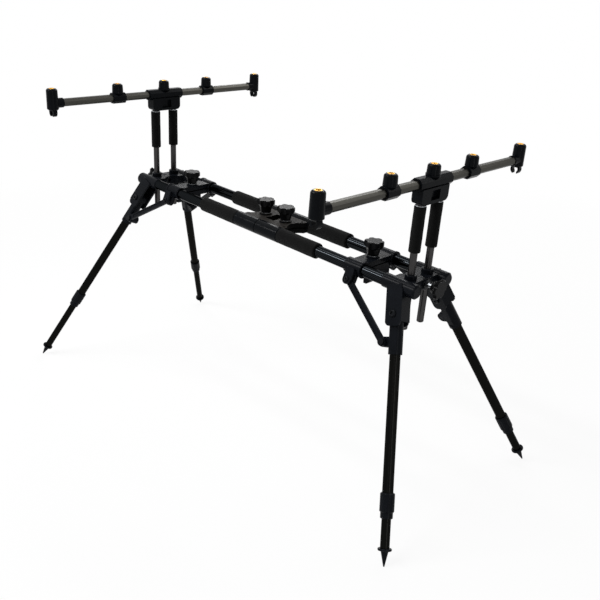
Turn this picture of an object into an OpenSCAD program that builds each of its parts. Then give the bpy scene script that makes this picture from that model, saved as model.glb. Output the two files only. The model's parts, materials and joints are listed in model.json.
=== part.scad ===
// Rod pod: two rails on four folding legs, with a height-adjustable bar at each end.
// Everything is drawn level, with the rails along X, +X to the front and the rail axes at Z = 0.
// The whole pod is then pitched so that its four spikes stand on Z = 0, on legs drawn out by different lengths.
// Lengths are millimetres and angles are degrees.

/* [Rails] */
// Distance between the front and the rear uprights
bar_gap = 760; // [720:5:860]
// Distance between the axes of the two rails
rail_gap = 90; // [88:1:100]
// Outside diameter of a rail
rail_d = 22.5; // [22:0.5:23]
// Wall of a rail
rail_wall = 1.6; // [1.4:0.1:2]
// How far the core tubes reach to each side of the hub's seam
core_reach = 170; // [150:5:220]

/* [Hub and grips] */
// Distance of the hub's seam in front of the midpoint between the uprights
hub_shift = 10; // [0:1:15]
// Length of one hub half along the rails
hub_len = 64; // [60:1:68]
// Outside diameter of the hub's sleeves
hub_d = 31; // [30:0.5:32]
// Distance of a hub knob from the seam
hub_knob_x = 30; // [28:1:33]
// Length of a front rail grip
front_grip_len = 103; // [90:1:105]
// Length of a rear rail grip
rear_grip_len = 113; // [90:1:115]
// Thickness of the foam on rails and uprights
foam = 4; // [3.5:0.1:4.4]

/* [Knobs] */
// Diameter of a star knob over its lobes
knob_d = 37; // [34:1:38]
// Height of a star knob
knob_h = 27; // [24:1:30]
// Diameter of a knob's stud
stud_d = 8; // [6:1:8]

/* [Legs] */
// Angle by which the legs splay sideways
splay = 24; // [20:1:26]
// Angle by which the legs lean out past the ends
lean = 21.2; // [19:0.1:23]
// Distance from the rail axis to the leg's pivot, along the leg
pivot_drop = 51; // [50:1:53]
// Distance from the leg's pivot to its arm lug, along the leg
lug_drop = 48; // [46:1:50]
// Distance of the arm lug's hole from the leg's axis
lug_off = 19.6; // [18.5:0.1:20.5]
// Outside diameter of a leg tube
leg_d = 19; // [18.6:0.1:19.2]
// Outside diameter of an inner leg
inner_d = 16; // [15.6:0.1:16.2]
// Distance from the rail axis to the lower end of a leg tube, along the leg
leg_end = 372; // [350:1:390]
// Length of an inner leg tube
inner_len = 318; // [290:1:320]
// Distance from the rail axis to a front spike's tip, along the leg
front_reach = 470; // [450:1:560]
// Distance from the rail axis to a rear spike's tip, along the leg
rear_reach = 564; // [450:1:580]

/* [Bars] */
// Height of the front bar's axis over the rail axes
front_bar_h = 179; // [165:1:200]
// Height of the rear bar's axis over the rail axes
rear_bar_h = 199; // [165:1:200]
// Distance from the middle of a bar to an end boss
bar_half = 274; // [240:1:300]
// Distance from the middle to a sliding rest on the front bar
front_rest_y = 113; // [80:1:180]
// Distance from the middle to a sliding rest on the rear bar
rear_rest_y = 121; // [80:1:180]
// Diameter of a boss
boss_d = 24; // [23:0.5:25]
// Diameter of the threaded hole in an insert
thread_d = 8.4; // [8:0.1:9]
// Outside diameter of an upright
upright_d = 13; // [12:0.5:14]

/* [Hidden] */
$fn = 64;

front = 1;
rear = -1;
left = -1;
right = 1;
sides = [left, right];

run = 0.05;      // radial clearance of a sliding or turning fit
gap = 0.3;       // clearance between faces that pass each other
slot = 2.4;      // width of the pinch slots
eps = 1;         // overlap that makes a cut clean

casting = "#22252b";
foam_black = "#151515";
tube_grey = "#3a3d42";
satin_black = "#1c1d20";
bar_grey = "#6d6f66";
brass = "#c9963a";
steel = "#a9adb2";

// Rails, hub and grips
rail_y = rail_gap / 2;
rail_bore = rail_d - 2 * rail_wall;
core_d = rail_bore - 2 * run;
core_wall = 1.5;
seam = 0.4;
plate_t = 22;
rail_grip_d = rail_d + 2 * foam;
hub_boss_z = 14;
hub_stud = 30;
grip_start = hub_len + 0.5;

// End block
bar_x = bar_gap / 2;
block_back = 40;
block_fore = 33;
block_start = bar_x - block_back;
block_end = bar_x + block_fore;
block_d = 26.4;
block_wall = 9;
rail_end = block_end - block_wall;
beam_h = 18;
upright_y = 24;
upright_collar_d = 22;
upright_collar_top = 18;
upright_collar_low = -18;
beam_back = 26;
beam_fore = 17;
block_boss_d = 22;
block_boss_fore = 19;
block_knob_z = -1;
block_knob_x = bar_x + block_boss_fore;
block_stud = 34;

// Knobs
washer_t = 1.6;
washer_d = 18;
knob_stand = washer_t + run;
block_knob_h = 16;
block_knob_stand = 14;

// Legs: distances along a leg count from the rail axis
leg_x = bar_x - 7.5;
head_r = 12.2;
head_half = 10.4;
head_end = 120;
tube_start = pivot_drop + 11;
leg_bore = inner_d + 2 * run;
cheek_t = 4;
cheek_w = 30;
cheek_end = 72;
cheek_in = head_half + gap;
pivot_d = 8;
pin_d = 6;
lug_r = 9;
lug_back = -7;
lug_face = head_half - 0.1;
collar_start = leg_end - 22;
collar_body = 32;
collar_ring = 10;
spike_len = 30;
tip_r = 1.3;

// Support arms
arm_t = 5;
arm_w = 12;
arm_in = lug_face + gap;
arm_out = arm_in + arm_t;
arm_reach = 95;
arm_drop = 24.7;
leg_lug = leg_point(pivot_drop + lug_drop, lug_off);
slider_lug = [-arm_reach, -arm_drop];
arm_vec = slider_lug - leg_lug;
arm_len = norm(arm_vec);
arm_angle = atan2(arm_vec[1], arm_vec[0]);

// Sliders
slider_x = leg_x - arm_reach - 3.5;
slider_len = 40;
slider_d = 29;
slider_boss_z = 13;
slider_stud = 28;
skirt_t = 7;
skirt_low = -30;
ear_t = 4;

// Bars: an eight-sided tube
bar_w = 17;
bar_t = 15;
bar_cut = 4.5;
bar_wall = 2;
boss_top = 30;
insert_d = 11.5;
insert_len = 18;
insert_proud = 0.3;
tee_half = 44;
tee_low = -35;
socket_half = 37;
upright_low = -267;
upright_high = -10;
upright_foam_low = -120;
upright_foam_high = -38;
rest_half = 15;
bar_short = 6;                     // how far a bar ends inside its end boss
bar_end = bar_half - bar_short;

// Standing: the plane through the four spike tips is turned level
front_tip = tip_place(front_reach, 1);
rear_tip = tip_place(rear_reach, -1);
pitch = atan2(front_tip[1] - rear_tip[1], front_tip[0] - rear_tip[0]);
stand_x = -(pitched(front_tip)[0] + pitched(rear_tip)[0]) / 2;
stand_z = tip_r - pitched(front_tip)[1];

// Point in a leg's plane, as [out along the rail, up], at a distance down the leg and inward of its axis
function leg_point(along, inward) = [
    along * sin(lean) - inward * cos(lean),
    -along * cos(lean) - inward * sin(lean)
];
// Centre of a spike's round tip, as [x, z], before the pod is pitched
function tip_place(reach, end) = [
    end * (leg_x + (reach - tip_r) * sin(lean)),
    -(reach - tip_r) * cos(lean) * cos(splay)
];
function pitched(p) = [p[0] * cos(pitch) + p[1] * sin(pitch), -p[0] * sin(pitch) + p[1] * cos(pitch)];
function bar_height(end) = end > 0 ? front_bar_h : rear_bar_h;
function rest_place(end) = end > 0 ? front_rest_y : rear_rest_y;
function leg_reach(end) = end > 0 ? front_reach : rear_reach;
function grip_len(end) = end > 0 ? front_grip_len : rear_grip_len;
// Place of the hub's seam, counted outward to one end
function seam_place(end) = end * hub_shift;

// Placing

module pod() {
    translate([stand_x, 0, stand_z]) rotate([0, pitch, 0]) children();
}

module at_end(end) {
    mirror([end < 0 ? 1 : 0, 0, 0]) children();
}

module at_hub(end) {
    at_end(end) translate([seam_place(end), 0, 0]) children();
}

module at_side(side) {
    mirror([0, side < 0 ? 1 : 0, 0]) children();
}

// The plane in which a leg folds: X outward along the rail, Y outward from the plane, Z up
module leg_plane() {
    translate([leg_x, rail_y, 0]) rotate([splay, 0, 0]) children();
}

// The same plane turned so that -Z runs down the leg
module leg_line() {
    leg_plane() rotate([0, -lean, 0]) children();
}

module at_bar(end) {
    translate([bar_x, 0, bar_height(end)]) children();
}

// Shapes that repeat

module rod_x(d, x0, x1) {
    translate([x0, 0, 0]) rotate([0, 90, 0]) cylinder(d = d, h = x1 - x0);
}

module rod_y(d, y0, y1) {
    translate([0, y1, 0]) rotate([90, 0, 0]) cylinder(d = d, h = y1 - y0);
}

module tube_z(d, bore, z0, z1) {
    translate([0, 0, z0]) difference() {
        cylinder(d = d, h = z1 - z0);
        translate([0, 0, -eps]) cylinder(d = bore, h = z1 - z0 + 2 * eps);
    }
}

// A round bar along X whose two ends are chamfered
module chamfer_rod_x(d, x0, x1, c) {
    rod_x(d, x0 + c, x1 - c);
    translate([x0, 0, 0]) rotate([0, 90, 0]) cylinder(d1 = d - 2 * c, d2 = d, h = c);
    translate([x1 - c, 0, 0]) rotate([0, 90, 0]) cylinder(d1 = d, d2 = d - 2 * c, h = c);
}

// A round bar along Z whose two ends are chamfered
module chamfer_rod_z(d, z0, z1, c) {
    translate([0, 0, z0 + c]) cylinder(d = d, h = z1 - z0 - 2 * c);
    translate([0, 0, z0]) cylinder(d1 = d - 2 * c, d2 = d, h = c);
    translate([0, 0, z1 - c]) cylinder(d1 = d, d2 = d - 2 * c, h = c);
}

// A foam sleeve along Z with eased edges
module foam_sleeve(d, bore, z0, z1) {
    ease = 1.2;
    difference() {
        chamfer_rod_z(d, z0, z1, ease);
        translate([0, 0, z0 - eps]) cylinder(d = bore, h = z1 - z0 + 2 * eps);
    }
}

// An upright plate in the XZ plane that hangs from Z = 0, with its two lower corners rounded
module hanging_plate(w, drop, r, y0, y1) {
    translate([0, y1, 0]) rotate([90, 0, 0]) linear_extrude(y1 - y0) {
        translate([-w / 2, r - drop]) square([w, drop - r]);
        translate([r - w / 2, -drop]) square([w - 2 * r, r + eps]);
        for (s = sides) translate([s * (w / 2 - r), r - drop]) circle(r);
    }
}

// An eight-sided outline, grown outward by a margin
module bar_outline(grow) {
    w = bar_w / 2 + grow;
    t = bar_t / 2 + grow;
    c = bar_cut + grow * (2 - sqrt(2));
    polygon([
        [w - c, -t], [w, c - t], [w, t - c], [w - c, t],
        [c - w, t], [-w, t - c], [-w, c - t], [c - w, -t]
    ]);
}

module bar_length(grow, y0, y1) {
    translate([0, y1, 0]) rotate([90, 0, 0]) linear_extrude(y1 - y0) bar_outline(grow);
}

// A six-lobed knob on its stud, with a loose washer: Z = 0 is the face that the washer bears on
module star_knob(stud_len, stand, h) {
    foot_r = 10.5;
    neck_r = 13;
    neck = 0.45 * h;
    shoulder = 0.68 * h;
    rim = 1.6;
    lobes = 6;
    hollow_r = 6.5;
    hollow_at = knob_d / 2 + 1.8;
    grip_in = 0.5 * h;
    color(satin_black) translate([0, 0, stand]) difference() {
        rotate_extrude() polygon([
            [0, 0], [foot_r, 0], [neck_r, neck], [knob_d / 2, shoulder],
            [knob_d / 2, h - rim], [knob_d / 2 - rim, h], [0, h]
        ]);
        for (i = [0 : lobes - 1]) rotate(i * 360 / lobes)
            translate([hollow_at, 0, -eps]) cylinder(r = hollow_r, h = h + 2 * eps);
    }
    color(steel) tube_z(washer_d, stud_d + 2 * run, run, washer_t);
    color(steel) translate([0, 0, stand - stud_len]) cylinder(d = stud_d, h = stud_len + grip_in);
}

// A bridge between the two rails: two pinched sleeves, a plate and a boss below the knob
module bridge(d, bore, x0, x1, plate0, plate1, knob_x, boss_z) {
    boss_r = 13;
    difference() {
        union() {
            for (s = sides) translate([0, s * rail_y, 0]) chamfer_rod_x(d, x0, x1, 1);
            translate([plate0, -rail_y, -plate_t / 2]) cube([plate1 - plate0, rail_gap, plate_t]);
            translate([knob_x, 0, -plate_t / 2]) cylinder(r = boss_r, h = plate_t / 2 + boss_z);
        }
        for (s = sides) translate([0, s * rail_y, 0]) rod_x(bore, x0 - eps, x1 + eps);
        translate([x0 - eps, -rail_y, -slot / 2]) cube([x1 - x0 + 2 * eps, rail_gap, slot]);
        translate([knob_x, 0, -plate_t]) cylinder(d = stud_d + 2 * run, h = 2 * plate_t);
        children();
    }
}

// Rails and hub

module rail_cores() {
    color(tube_grey) pod() for (s = sides) translate([hub_shift, s * rail_y, 0]) rotate([0, 90, 0])
        tube_z(core_d, core_d - 2 * core_wall, -core_reach, core_reach);
}

// One half of the hub: hollowed below and at its edge, with a recess at the seam and a sunk screw in each lobe
module hub(end) {
    plate_end = hub_len - 4;
    edge_r = 30;
    edge_in = 12;
    pocket_w = 16;
    pocket_y = 19;
    pocket_deep = 6;
    pocket_start = 7;
    pocket_len = hub_len - 26;
    recess_x = 12;
    recess_w = 34;
    recess_deep = 14;
    screw_deep = 5;
    screw_x = hub_len - 11;
    screw_y = 25;
    screw_d = 5.2;
    color(casting) pod() at_hub(end)
        bridge(hub_d, rail_d, seam, hub_len, seam, plate_end, hub_knob_x, hub_boss_z) {
            translate([plate_end + edge_r - edge_in, 0, -plate_t]) cylinder(r = edge_r, h = 2 * plate_t);
            translate([0, -recess_w / 2, plate_t / 2 - recess_deep]) cube([recess_x, recess_w, plate_t]);
            for (s = sides) {
                translate([pocket_start, s * pocket_y - pocket_w / 2, -plate_t / 2 - eps])
                    cube([pocket_len, pocket_w, pocket_deep + eps]);
                translate([screw_x, s * screw_y, plate_t / 2 - screw_deep]) cylinder(d = screw_d, h = plate_t);
            }
        }
}

module rails(end) {
    start = seam_place(end) + seam;
    color(tube_grey) pod() at_end(end) for (s = sides) difference() {
        translate([0, s * rail_y, 0]) rotate([0, 90, 0]) tube_z(rail_d, rail_bore, start, rail_end);
        translate([start - eps, -rail_y, -slot / 2]) cube([hub_len + eps - seam, rail_gap, slot]);
    }
}

module rail_grips(end) {
    color(foam_black) pod() at_hub(end) for (s = sides) translate([0, s * rail_y, 0]) rotate([0, 90, 0])
        foam_sleeve(rail_grip_d, rail_d, grip_start, grip_start + grip_len(end));
}

module hub_knob(end) {
    pod() at_hub(end) translate([hub_knob_x, 0, hub_boss_z]) star_knob(hub_stud, knob_stand, knob_h);
}

// Sliders

module slider_ears() {
    tie_top = -3;
    tie_low = -13;
    tie_in = 4;
    corner = lug_r - 0.5;
    inner = 1;
    ear_out = arm_out + gap + ear_t;
    translate([-arm_reach, 0, 0]) {
        hanging_plate(2 * lug_r, arm_drop + lug_r, corner, inner, lug_face);
        translate([-lug_r, lug_face - tie_in, tie_low])
            cube([2 * lug_r, ear_out - lug_face + tie_in, tie_top - tie_low]);
        translate([0, 0, tie_top])
            hanging_plate(2 * lug_r, arm_drop + lug_r + tie_top, corner, ear_out - ear_t, ear_out);
    }
}

// A slider: its plate turns down into a skirt on the side of the end block
module slider(end) {
    x0 = slider_x - slider_len / 2;
    x1 = slider_x + slider_len / 2;
    plate0 = x0 + 5;
    plate1 = x1 - 3;
    bore = rail_d + 2 * run;
    ring = 5;
    skirt_half = rail_y - rail_d / 2 - 1;
    color(casting) pod() at_end(end) {
        bridge(slider_d, bore, x0, x1, plate0, plate1, slider_x, slider_boss_z);
        translate([plate1 - skirt_t, -skirt_half, skirt_low])
            cube([skirt_t, 2 * skirt_half, -skirt_low - plate_t / 2 + eps]);
        for (s = sides) at_side(s) difference() {
            union() {
                leg_plane() slider_ears();
                translate([0, rail_y, 0]) chamfer_rod_x(slider_d + 2, x1 - ring, x1, 0.8);
            }
            translate([0, rail_y, 0]) rod_x(bore, x0 - eps, x1 + eps);
            translate([x0, 0, -slot / 2]) cube([slider_len + eps, rail_y, slot]);
        }
    }
}

module slider_knob(end) {
    pod() at_end(end) translate([slider_x, 0, slider_boss_z]) star_knob(slider_stud, knob_stand, knob_h);
}

// End block with its leg brackets

module leg_bracket() {
    corner = 8;
    web_t = 3.8;
    web_in = head_r + 0.5;
    web_top = -8;
    web_low = -64;
    cheek_out = cheek_in + cheek_t;
    for (y0 = [cheek_in, -cheek_out]) hanging_plate(cheek_w, cheek_end, corner, y0, y0 + cheek_t);
    translate([web_in, -cheek_out, web_low]) cube([web_t, 2 * cheek_out, web_top - web_low]);
}

module end_block(end) {
    beam_in = bar_x - beam_back;
    beam_out = bar_x + beam_fore;
    sleeve_ease = 3;
    edge_r = 24;
    edge_in = 9;
    color(casting) pod() at_end(end) difference() {
        union() {
            for (s = sides) at_side(s) {
                translate([0, rail_y, 0]) chamfer_rod_x(block_d, block_start, block_end, sleeve_ease);
                translate([bar_x, upright_y, 0])
                    chamfer_rod_z(upright_collar_d, upright_collar_low, upright_collar_top, 1);
                leg_line() leg_bracket();
            }
            translate([beam_in, -rail_y, -beam_h / 2]) cube([beam_out - beam_in, rail_gap, beam_h]);
            translate([0, 0, block_knob_z]) chamfer_rod_x(block_boss_d, bar_x, block_knob_x, 1);
        }
        for (s = sides) at_side(s) {
            translate([0, rail_y, 0]) rod_x(rail_d, block_start - eps, rail_end);
            translate([bar_x, upright_y, upright_collar_low - eps])
                cylinder(d = upright_d + 2 * run, h = upright_collar_top - upright_collar_low + 2 * eps);
            leg_line() translate([0, 0, -pivot_drop]) rod_y(pivot_d, -2 * cheek_w, 2 * cheek_w);
        }
        translate([beam_in - edge_r + edge_in, 0, -beam_h]) cylinder(r = edge_r, h = 2 * beam_h);
        translate([0, 0, block_knob_z]) rod_x(stud_d + 2 * run, beam_in, block_knob_x + eps);
    }
}

module leg_bolts(end) {
    head_t = 4;
    head_d = 13;
    nut_d = 14;
    cheek_out = cheek_in + cheek_t;
    color(steel) pod() at_end(end) for (s = sides) at_side(s) leg_line() translate([0, 0, -pivot_drop]) {
        rod_y(pivot_d, -cheek_out, cheek_out);
        rod_y(head_d, cheek_out, cheek_out + head_t);
        translate([0, -cheek_out, 0]) rotate([90, 0, 0]) cylinder(d = nut_d, h = head_t, $fn = 6);
    }
}

module block_knob(end) {
    pod() at_end(end) translate([block_knob_x, 0, block_knob_z]) rotate([0, 90, 0])
        star_knob(block_stud, block_knob_stand, block_knob_h);
}

// Legs

module leg_head(end, side) {
    ring = 6;
    color(casting) pod() at_end(end) at_side(side) leg_line() difference() {
        union() {
            translate([0, 0, -pivot_drop]) rod_y(2 * head_r, -head_half, head_half);
            intersection() {
                translate([0, 0, -head_end]) cylinder(r = head_r, h = head_end - pivot_drop);
                translate([-head_r, -head_half, -head_end]) cube([2 * head_r, 2 * head_half, head_end]);
            }
            translate([0, 0, -head_end]) cylinder(r = head_r, h = ring);
            translate([-lug_off, 0, -pivot_drop - lug_drop]) {
                rod_y(2 * lug_r, lug_back, lug_face);
                translate([0, lug_back, -lug_r]) cube([lug_off, lug_face - lug_back, 2 * lug_r]);
            }
        }
        translate([0, 0, -head_end - eps]) cylinder(d = leg_d, h = head_end - tube_start + eps);
        translate([0, 0, -pivot_drop]) rod_y(pivot_d + 2 * run, -head_r, head_r);
        translate([-lug_off, 0, -pivot_drop - lug_drop]) rod_y(pin_d + 2 * run, lug_back - eps, lug_face + eps);
    }
}

module leg_tube(end, side) {
    flutes = 12;
    flute_r = 1.3;
    flute_deep = 0.5;
    color(tube_grey) pod() at_end(end) at_side(side) leg_line() translate([0, 0, -leg_end])
        linear_extrude(leg_end - tube_start) difference() {
            circle(d = leg_d);
            circle(d = leg_bore);
            for (i = [0 : flutes - 1]) rotate(i * 360 / flutes)
                translate([leg_d / 2 + flute_r - flute_deep, 0]) circle(flute_r);
        }
}

module collar(end, side) {
    body_d = leg_d + 6;
    ring_d = leg_d + 2.4;
    flutes = 10;
    flute_r = 3;
    flute_deep = 0.7;
    flute_start = 3;
    flute_len = collar_body - 8;
    body_low = collar_start + collar_body;
    color(satin_black) pod() at_end(end) at_side(side) leg_line() difference() {
        union() {
            chamfer_rod_z(body_d, -body_low, -collar_start, 1.6);
            chamfer_rod_z(ring_d, -body_low - collar_ring, -body_low + 2, 1);
        }
        translate([0, 0, -leg_end - gap]) cylinder(d = leg_d + 2 * run, h = leg_end);
        translate([0, 0, -body_low - collar_ring - eps])
            cylinder(d = leg_bore + 2 * run, h = collar_body + collar_ring);
        for (i = [0 : flutes - 1]) rotate(i * 360 / flutes)
            translate([body_d / 2 + flute_r - flute_deep, 0, flute_start - body_low])
                cylinder(r = flute_r, h = flute_len);
    }
}

module inner_leg(end, side) {
    low = leg_reach(end) - spike_len;
    wall = 1.5;
    color(tube_grey) pod() at_end(end) at_side(side) leg_line()
        tube_z(inner_d, inner_d - 2 * wall, -low, inner_len - low);
}

module spike(end, side) {
    flange_r = 12;
    flange_t = 4;
    plug_r = inner_d / 2 - 1.5;
    plug_len = 14;
    cone_r = 6.8;
    low = leg_reach(end);
    color(satin_black) pod() at_end(end) at_side(side) leg_line() translate([0, 0, -low]) {
        translate([0, 0, tip_r]) sphere(r = tip_r);
        rotate_extrude() polygon([
            [0, tip_r], [tip_r, tip_r], [cone_r, spike_len - flange_t], [flange_r - 1, spike_len - flange_t],
            [flange_r, spike_len - flange_t + 1], [flange_r, spike_len - 1], [flange_r - 1, spike_len],
            [plug_r, spike_len], [plug_r, spike_len + plug_len], [0, spike_len + plug_len]
        ]);
    }
}

// A flat arm in the leg's plane, from the leg's lug to between the slider's ears, with the pin it turns on
module arm(end, side) {
    eye_r = 8;
    groove_w = 5;
    groove_deep = 1;
    head_t = 3;
    color(casting) pod() at_end(end) at_side(side) leg_plane()
        translate([leg_lug[0], 0, leg_lug[1]]) rotate([0, -arm_angle, 0]) difference() {
            union() {
                for (x = [0, arm_len]) translate([x, 0, 0]) rod_y(2 * eye_r, arm_in, arm_out);
                translate([0, arm_in, -arm_w / 2]) cube([arm_len, arm_t, arm_w]);
            }
            for (x = [0, arm_len]) translate([x, 0, 0]) rod_y(pin_d, arm_in - eps, arm_out + eps);
            translate([2 * eye_r, arm_out - groove_deep, -groove_w / 2])
                cube([arm_len - 4 * eye_r, groove_deep + eps, groove_w]);
        }
    color(steel) pod() at_end(end) at_side(side) leg_plane() translate([leg_lug[0], 0, leg_lug[1]]) {
        rod_y(pin_d, lug_back, arm_out);
        rod_y(2 * pin_d, arm_out, arm_out + head_t);
    }
}

// Bars

module uprights(end) {
    wall = 1.3;
    plug = 6;
    bore = upright_d - 2 * wall;
    color(tube_grey) pod() at_end(end) at_bar(end) for (s = sides) translate([0, s * upright_y, 0])
        difference() {
            chamfer_rod_z(upright_d, upright_low, upright_high, 1);
            translate([0, 0, upright_low + plug]) cylinder(d = bore, h = upright_high - upright_low);
        }
}

module upright_grips(end) {
    color(foam_black) pod() at_end(end) at_bar(end) for (s = sides) translate([0, s * upright_y, 0])
        foam_sleeve(upright_d + 2 * foam, upright_d, upright_foam_low, upright_foam_high);
}

// A boss on a bar, closed below and bored from the top for its insert
module boss(z0) {
    base_r = boss_d / 2;
    top_r = base_r - 0.6;
    foot = 3;
    ease = 5;
    rotate_extrude() {
        polygon([
            [0, z0], [base_r - foot, z0], [base_r, z0 + foot],
            [top_r, boss_top - ease], [top_r - ease, boss_top], [0, boss_top]
        ]);
        translate([top_r - ease, boss_top - ease]) circle(ease);
    }
}

module insert_bore(clear) {
    translate([0, 0, boss_top - insert_len - clear])
        cylinder(d = insert_d + 2 * clear, h = insert_len + clear + eps);
}

module insert() {
    color(brass) tube_z(insert_d, thread_d, boss_top - insert_len, boss_top + insert_proud);
}

module tee(end) {
    wall = 3.5;
    body_x = 11;
    corner = 9;
    window_y = 12;
    window_low = -29;
    window_high = -12;
    window_floor = 4;
    ring_d = boss_d + 2;
    ring_z = bar_t / 2 + 2;
    ring_h = 3.5;
    color(casting) pod() at_end(end) at_bar(end) difference() {
        union() {
            bar_length(wall, -tee_half, tee_half);
            translate([0, 0, -bar_t / 2]) rotate([0, 0, 90])
                hanging_plate(2 * socket_half, -tee_low - bar_t / 2, corner, -body_x, body_x);
            boss(bar_t / 2);
            translate([0, 0, ring_z]) cylinder(d = ring_d, h = ring_h);
        }
        bar_length(0, -tee_half - eps, tee_half + eps);
        insert_bore(0);
        for (s = sides) translate([0, s * upright_y, tee_low - eps])
            cylinder(d = upright_d, h = upright_high - tee_low + eps);
        for (x0 = [window_floor, -body_x - eps]) translate([x0, -window_y, window_low])
            cube([body_x - window_floor + eps, 2 * window_y, window_high - window_low]);
    }
}

module bar(end) {
    color(bar_grey) pod() at_end(end) at_bar(end) difference() {
        bar_length(0, -bar_end, bar_end);
        bar_length(-bar_wall, -bar_end - eps, bar_end + eps);
    }
}

// A boss at each end of a bar, with a spring clip of two prongs below
module bar_ends(end) {
    collar_d = 19.8;
    collar_len = 22;
    boss_low = -14;
    clip_r = 9.4;
    clip_bore = 5.6;
    clip_z = -18;
    clip_half = 4.5;
    mouth = 8;
    color(casting) pod() at_end(end) at_bar(end) for (s = sides) at_side(s) difference() {
        union() {
            translate([0, bar_half, 0]) boss(boss_low);
            rod_y(collar_d, bar_half - collar_len, bar_half);
            translate([0, 0, clip_z]) rod_y(2 * clip_r, bar_half - clip_half, bar_half + clip_half);
        }
        bar_length(0, bar_half - collar_len - eps, bar_end);
        translate([0, bar_half, 0]) insert_bore(0);
        translate([0, 0, clip_z]) rod_y(2 * clip_bore, bar_half - boss_d, bar_half + boss_d);
        translate([-mouth / 2, bar_half - boss_d, clip_z - 2 * clip_r]) cube([mouth, 2 * boss_d, 2 * clip_r]);
    }
}

module inserts(end) {
    pod() at_end(end) at_bar(end) for (y = [-bar_half, 0, bar_half]) translate([0, y, 0]) insert();
}

// A rest that slides on the bar: an eight-sided sleeve with a boss, and its insert
module rest(end, side) {
    wall = 3.4;
    pod() at_end(end) at_bar(end) at_side(side) translate([0, rest_place(end), 0]) {
        color(casting) difference() {
            union() {
                bar_length(wall, -rest_half, rest_half);
                boss(bar_t / 2);
            }
            bar_length(gap / 2, -rest_half - eps, rest_half + eps);
            insert_bore(run);
        }
        insert();
    }
}

rail_cores();
hub(front);  // front_hub
rails(front);  // front_rails
rail_grips(front);  // front_rail_grips
end_block(front);  // front_end_block
leg_bolts(front);  // front_leg_bolts
hub_knob(front);  // front_hub_knob
block_knob(front);  // front_block_knob
slider(front);  // front_slider
slider_knob(front);  // front_slider_knob
leg_head(front, left);  // front_left_leg_head
leg_head(front, right);  // front_right_leg_head
leg_tube(front, left);  // front_left_leg_tube
leg_tube(front, right);  // front_right_leg_tube
collar(front, left);  // front_left_collar
collar(front, right);  // front_right_collar
inner_leg(front, left);  // front_left_inner_leg
inner_leg(front, right);  // front_right_inner_leg
spike(front, left);  // front_left_spike
spike(front, right);  // front_right_spike
arm(front, left);  // front_left_arm
arm(front, right);  // front_right_arm
uprights(front);  // front_uprights
upright_grips(front);  // front_upright_grips
tee(front);  // front_tee
bar(front);  // front_bar
bar_ends(front);  // front_bar_ends
inserts(front);  // front_inserts
rest(front, left);  // front_left_rest
rest(front, right);  // front_right_rest
hub(rear);  // rear_hub
rails(rear);  // rear_rails
rail_grips(rear);  // rear_rail_grips
end_block(rear);  // rear_end_block
leg_bolts(rear);  // rear_leg_bolts
hub_knob(rear);  // rear_hub_knob
block_knob(rear);  // rear_block_knob
slider(rear);  // rear_slider
slider_knob(rear);  // rear_slider_knob
leg_head(rear, left);  // rear_left_leg_head
leg_head(rear, right);  // rear_right_leg_head
leg_tube(rear, left);  // rear_left_leg_tube
leg_tube(rear, right);  // rear_right_leg_tube
collar(rear, left);  // rear_left_collar
collar(rear, right);  // rear_right_collar
inner_leg(rear, left);  // rear_left_inner_leg
inner_leg(rear, right);  // rear_right_inner_leg
spike(rear, left);  // rear_left_spike
spike(rear, right);  // rear_right_spike
arm(rear, left);  // rear_left_arm
arm(rear, right);  // rear_right_arm
uprights(rear);  // rear_uprights
upright_grips(rear);  // rear_upright_grips
tee(rear);  // rear_tee
bar(rear);  // rear_bar
bar_ends(rear);  // rear_bar_ends
inserts(rear);  // rear_inserts
rest(rear, left);  // rear_left_rest
rest(rear, right);  // rear_right_rest
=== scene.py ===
import json
import math

import bmesh
import bpy
from mathutils import Matrix, Vector, noise


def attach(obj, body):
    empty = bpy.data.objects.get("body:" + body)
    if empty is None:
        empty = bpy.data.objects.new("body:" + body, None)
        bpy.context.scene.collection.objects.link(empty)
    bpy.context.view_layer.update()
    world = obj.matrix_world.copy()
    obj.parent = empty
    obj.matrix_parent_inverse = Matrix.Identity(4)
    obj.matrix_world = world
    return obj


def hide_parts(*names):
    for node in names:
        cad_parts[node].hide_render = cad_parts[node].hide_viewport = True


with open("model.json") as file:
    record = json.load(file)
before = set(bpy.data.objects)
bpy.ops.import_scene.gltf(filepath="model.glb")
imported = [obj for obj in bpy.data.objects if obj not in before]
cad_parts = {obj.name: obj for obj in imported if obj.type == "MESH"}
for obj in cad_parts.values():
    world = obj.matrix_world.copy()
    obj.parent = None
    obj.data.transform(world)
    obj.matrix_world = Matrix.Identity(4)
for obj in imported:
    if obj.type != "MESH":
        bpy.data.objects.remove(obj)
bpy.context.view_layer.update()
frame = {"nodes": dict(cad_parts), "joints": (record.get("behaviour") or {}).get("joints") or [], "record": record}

bl_info = {
    "name": "Rod Pod",
    "version": (1, 0, 0),
    "blender": (4, 5, 0),
    "location": "View3D > Sidebar > Rod Pod",
    "description": "Finishes, foam and small hardware of a fishing rod pod on its CAD frame",
    "category": "Object",
}

ENDS = {"front": 1, "rear": -1}
SIDES = {"left": -1, "right": 1}
JOINTS = {joint["name"]: joint for joint in frame["joints"]}
MOUNTS = {mount["name"]: mount for mount in frame["record"]["mounts"]}
MM = 0.001

# the slider knobs turn on bosses this high over the rail axes
SLIDER_BOSS = 13 * MM
# a mount's middle lies this high over its bar's axis
THREAD_MIDDLE = 21 * MM
# faces that meet at more than this angle have an edge between them
EDGE_ANGLE = math.radians(38)
# points closer than this are one
WELD = 0.002 * MM
# a face is level where its normal rises by more than this
LEVEL_FACE = 0.9
# a face looks along an axis where its normal has more than this share of it
FACING = 0.5
# the surface of a sleeve has a row of points at about this distance
ROW = 4 * MM

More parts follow.
